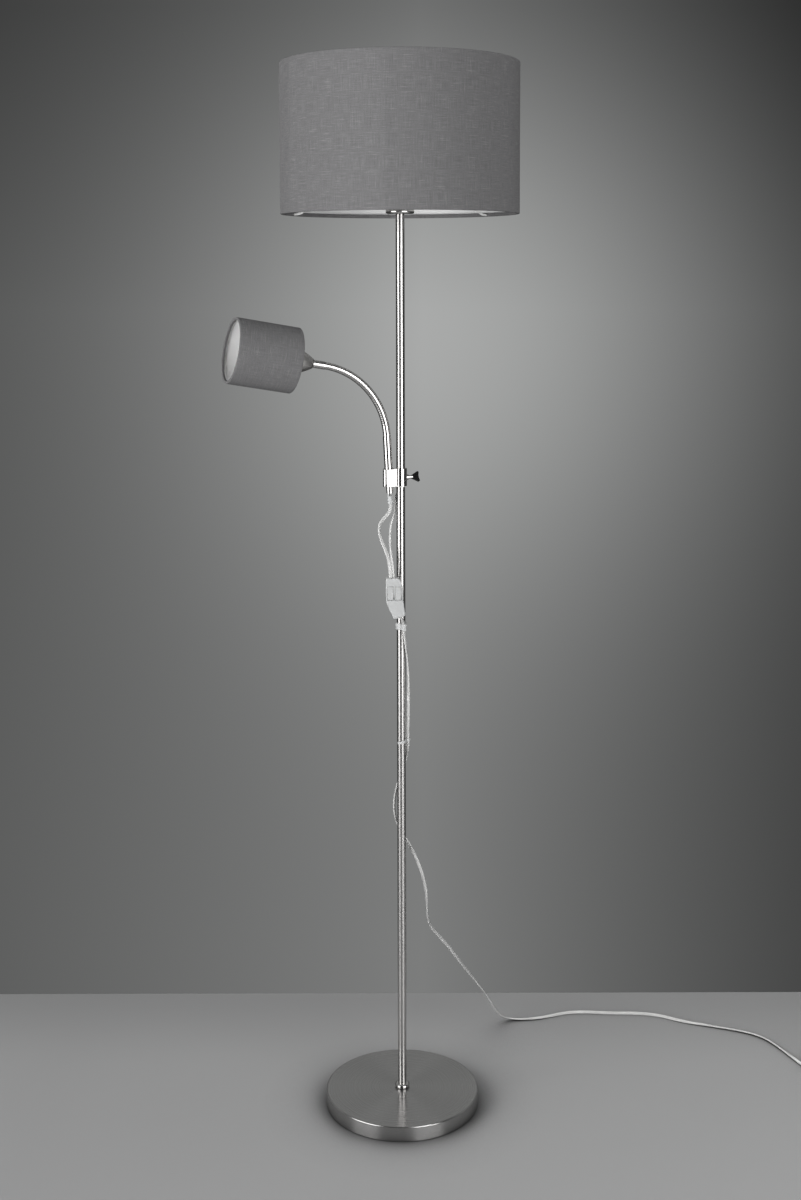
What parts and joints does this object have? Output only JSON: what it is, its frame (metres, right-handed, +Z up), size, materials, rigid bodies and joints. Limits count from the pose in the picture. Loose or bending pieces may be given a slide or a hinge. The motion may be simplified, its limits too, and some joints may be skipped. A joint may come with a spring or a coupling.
{
  "type": "floor lamp with reading light",
  "caption": "Uplighter floor lamp with a drum shade, and a small shaded reading light on a gooseneck that clamps to the pole.",
  "frame": {"origin": "centre of the base's underside, on the floor, below the pole", "axes": "+Z up along the pole, -X towards the reading light's gooseneck arm, -Y the side that the switch roughly faces"},
  "size_m": [0.9887, 0.3669, 1.57],
  "materials": {
    "satin_nickel": "satin",
    "bright_nickel": "polished",
    "steel": "plain",
    "brass": "satin",
    "iron": "rough",
    "felt": "matte",
    "shade_cloth": "woven",
    "shade_lining": "matte",
    "white_wire": "satin",
    "holder_plastic": "satin",
    "clear_plastic": "glossy",
    "cord": "glossy",
    "bush_plastic": "satin",
    "bulb_white": "opal",
    "bulb_thread": "satin"
  },
  "bodies": {
    "stand": {"base_pad": "felt", "base_weight": "iron", "base_cover": "satin_nickel", "base_nipple": "steel", "base_washer": "steel", "base_nut": "steel", "foot_collar": "bright_nickel", "pole_lower": "satin_nickel", "pole_middle": "satin_nickel", "pole_upper": "satin_nickel", "pole_couplers": "steel", "lead_grommet": "clear_plastic", "socket_cup": "satin_nickel", "lampholder_main": "holder_plastic", "lampholder_main_contacts": "brass", "bulb_main_cap": "bulb_thread", "bulb_main_glass": "bulb_white", "shade_ring_nut": "holder_plastic", "shade_fabric": "shade_cloth", "shade_lining": "shade_lining", "shade_rings": "white_wire", "shade_spider": "white_wire", "main_lead": "cord", "reading_lead": "cord", "mains_cord": "cord", "cord_coil": "cord", "plug_body": "clear_plastic", "plug_pins": "brass", "cord_clip_upper": "clear_plastic", "cord_clip_lower": "clear_plastic", "switch_front": "clear_plastic", "switch_back": "clear_plastic", "switch_screws": "steel", "switch_terminals": "brass"},
    "clamp_slider": {"clamp_liner": "bush_plastic"},
    "clamp": {"clamp_block": "bright_nickel", "neck_sleeve_lower": "bright_nickel", "cord_grip": "clear_plastic", "grip_screw": "steel", "neck_hose": "bright_nickel", "neck_wire": "cord"},
    "thumb_screw": {"thumb_screw": "bright_nickel"},
    "neck_1": {"neck_core_1": "steel"},
    "neck_2": {"neck_core_2": "steel"},
    "neck_3": {"neck_core_3": "steel"},
    "neck_4": {"neck_core_4": "steel"},
    "neck_5": {"neck_core_5": "steel"},
    "neck_6": {"neck_core_6": "steel"},
    "reading_head": {"neck_sleeve_upper": "bright_nickel", "head_cup": "bright_nickel", "lampholder_reading": "holder_plastic", "bulb_reading_cap": "bulb_thread", "bulb_reading_glass": "bulb_white", "reading_ring_nut": "holder_plastic", "reading_spider": "white_wire", "reading_shade_rings": "white_wire", "reading_shade_lining": "shade_lining", "reading_shade_fabric": "shade_cloth"},
    "rocker_reading": {"rocker_reading": "clear_plastic"},
    "rocker_main": {"rocker_main": "clear_plastic"}
  },
  "joints": [
    {"name": "clamp_slide", "type": "slide", "parent": "stand", "child": "clamp_slider", "axis": [0, 0, 1], "range_m": [-0.005, 0.012], "deforming": ["reading_lead"]},
    {"name": "clamp_yaw", "type": "hinge", "parent": "clamp_slider", "child": "clamp", "pos_m": [0, 0, 0.9655], "axis": [0, 0, 1], "range_deg": [-90, 90]},
    {"name": "thumb_screw_turn", "type": "hinge", "parent": "clamp", "child": "thumb_screw", "pos_m": [0.0165, 0, 0.9655], "axis": [1, 0, 0], "range_deg": [0, 360]},
    {"name": "neck_bend_1", "type": "hinge", "parent": "clamp", "child": "neck_1", "pos_m": [-0.0226, 0, 1.03744], "axis": [0, -1, 0], "range_deg": [-11, 22], "deforming": ["neck_hose", "neck_wire"]},
    {"name": "neck_side_1", "type": "hinge", "parent": "neck_1", "child": "neck_2", "pos_m": [-0.02795, 0, 1.05891], "axis": [0.9428, 0, 0.3335], "range_deg": [-13, 13]},
    {"name": "neck_bend_2", "type": "hinge", "parent": "neck_2", "child": "neck_3", "pos_m": [-0.03729, 0, 1.07898], "axis": [0, -1, 0], "range_deg": [-11, 22]},
    {"name": "neck_side_2", "type": "hinge", "parent": "neck_3", "child": "neck_4", "pos_m": [-0.05029, 0, 1.09689], "axis": [0.7495, 0, 0.662], "range_deg": [-13, 13]},
    {"name": "neck_bend_3", "type": "hinge", "parent": "neck_4", "child": "neck_5", "pos_m": [-0.06646, 0, 1.112], "axis": [0, -1, 0], "range_deg": [-11, 22]},
    {"name": "neck_side_3", "type": "hinge", "parent": "neck_5", "child": "neck_6", "pos_m": [-0.08521, 0, 1.12375], "axis": [0.4474, 0, 0.8943], "range_deg": [-13, 13]},
    {"name": "neck_bend_4", "type": "hinge", "parent": "neck_6", "child": "reading_head", "pos_m": [-0.10586, 0, 1.13171], "axis": [0, -1, 0], "range_deg": [-11, 22]},
    {"name": "rocker_reading_tip", "type": "hinge", "parent": "stand", "child": "rocker_reading", "pos_m": [-0.0213, -0.01204, 0.7948], "axis": [0.9397, -0.342, 0], "range_deg": [0, 12]},
    {"name": "rocker_main_tip", "type": "hinge", "parent": "stand", "child": "rocker_main", "pos_m": [-0.0104, -0.01601, 0.7948], "axis": [0.9397, -0.342, 0], "range_deg": [0, 12]}
  ],
  "couplings": [
    {"joint": "neck_bend_2", "follows": "neck_bend_1", "ratio": 1},
    {"joint": "neck_side_2", "follows": "neck_side_1", "ratio": 1},
    {"joint": "neck_bend_3", "follows": "neck_bend_1", "ratio": 1},
    {"joint": "neck_side_3", "follows": "neck_side_1", "ratio": 1},
    {"joint": "neck_bend_4", "follows": "neck_bend_1", "ratio": 1}
  ]
}
